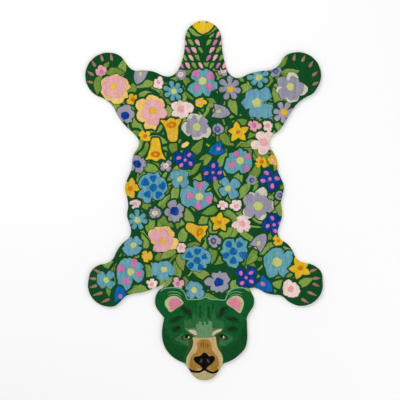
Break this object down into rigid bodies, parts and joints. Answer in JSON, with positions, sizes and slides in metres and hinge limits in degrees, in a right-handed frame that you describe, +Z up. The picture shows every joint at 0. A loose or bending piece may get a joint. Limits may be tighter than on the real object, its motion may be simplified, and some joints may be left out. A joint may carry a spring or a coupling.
{
  "type": "animal shaped kids rug",
  "caption": "Flat tufted wool kids rug in the shape of a bear skin, with a bear's head, splayed paws and a short tail, its body covered in flowers and leaves.",
  "frame": {"origin": "middle of the rug's box on the floor, under the middle of the body", "axes": "+Y runs from the head to the tail, +X to the right seen from above, +Z up out of the pile"},
  "size_m": [0.9937, 1.5021, 0.015],
  "materials": {
    "tufted_wool": "matte"
  },
  "bodies": {
    "root": {"rug": "tufted_wool"}
  },
  "joints": []
}
